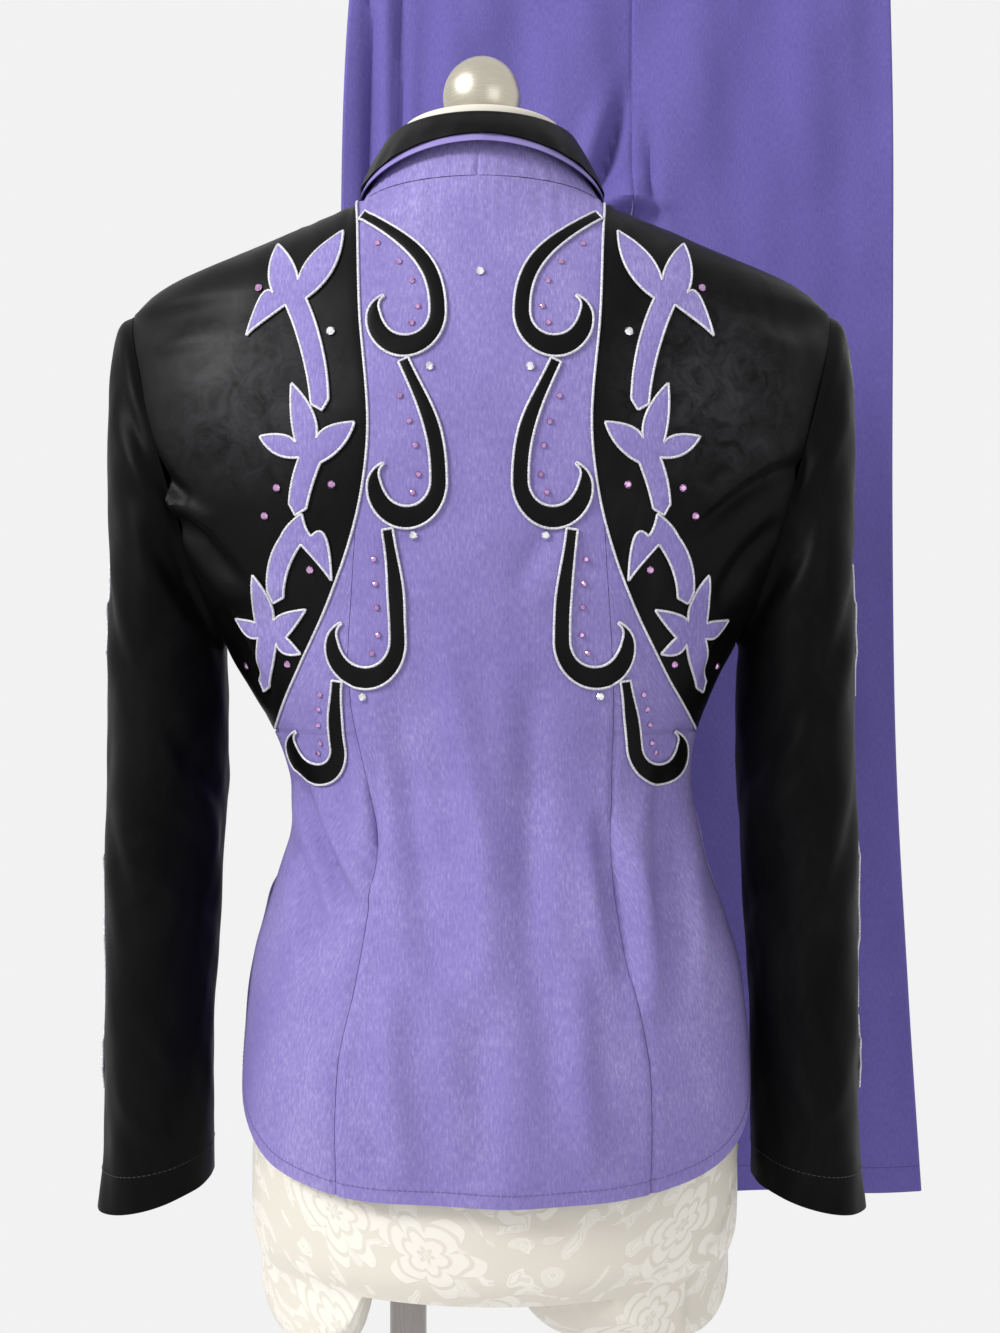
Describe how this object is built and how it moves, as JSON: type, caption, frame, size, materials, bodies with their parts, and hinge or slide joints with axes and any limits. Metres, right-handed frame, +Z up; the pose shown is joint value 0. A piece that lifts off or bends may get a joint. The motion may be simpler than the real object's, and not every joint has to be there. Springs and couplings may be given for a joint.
{
  "type": "western suit with a dress form and a clip hanger",
  "caption": "Western jacket with scroll and leaf appliques on a limbless dress form, its trousers hung flat from a clip hanger on a wall hook behind it.",
  "frame": {"origin": "centre plane of the jacket, on the floor under the dress form's base", "axes": "+Z up, +X to the wearer's right, +Y the way the wearer faces; the jacket's back faces -Y"},
  "size_m": [0.6465, 0.495, 1.9527],
  "materials": {
    "lavender_cloth": "matte knit",
    "black_suede": "matte brushed",
    "purple_cloth": "matte knit",
    "ivory_damask": "satin figured",
    "brushed_nickel": "brushed",
    "dark_chrome": "polished",
    "steel": "brushed",
    "chrome": "polished",
    "white_cord": "glossy twisted",
    "clear_stone": "faceted",
    "pink_stone": "faceted"
  },
  "bodies": {
    "root": {"back_centre": "lavender_cloth", "back_side_left": "lavender_cloth", "back_side_right": "lavender_cloth", "front_left": "lavender_cloth", "front_right": "lavender_cloth", "placket": "lavender_cloth", "collar_stand": "lavender_cloth", "back_yoke_left": "black_suede", "back_yoke_right": "black_suede", "front_yoke_left": "black_suede", "front_yoke_right": "black_suede", "collar_fall": "black_suede", "sleeve_left": "black_suede", "sleeve_right": "black_suede", "snap_1": "steel", "snap_2": "steel", "snap_3": "steel", "snap_4": "steel", "snap_5": "steel", "snap_6": "steel", "scroll_left_1": "black_suede", "scroll_left_2": "black_suede", "scroll_left_3": "black_suede", "scroll_left_4": "black_suede", "scroll_right_1": "black_suede", "scroll_right_2": "black_suede", "scroll_right_3": "black_suede", "scroll_right_4": "black_suede", "leaf_top_left": "lavender_cloth", "leaf_top_right": "lavender_cloth", "leaf_tulip_left": "lavender_cloth", "leaf_tulip_right": "lavender_cloth", "leaf_hook_left": "lavender_cloth", "leaf_hook_right": "lavender_cloth", "leaf_star_left": "lavender_cloth", "leaf_star_right": "lavender_cloth", "sleeve_leaf_upper_left": "lavender_cloth", "sleeve_leaf_upper_right": "lavender_cloth", "sleeve_leaf_middle_left": "lavender_cloth", "sleeve_leaf_middle_right": "lavender_cloth", "sleeve_leaf_lower_left": "lavender_cloth", "sleeve_leaf_lower_right": "lavender_cloth", "form_torso": "ivory_damask", "form_neck_cap": "ivory_damask", "form_finial": "brushed_nickel", "form_pole": "dark_chrome", "form_base": "dark_chrome", "trouser_back_left": "purple_cloth", "trouser_back_right": "purple_cloth", "trouser_front_left": "purple_cloth", "trouser_front_right": "purple_cloth", "trouser_waistband": "purple_cloth", "trouser_fly": "purple_cloth", "hanger_bar": "chrome", "hanger_clip_left": "chrome", "hanger_clip_right": "chrome", "hanger_hook": "chrome", "wall_peg": "steel", "wall_plate": "steel"}
  },
  "joints": []
}
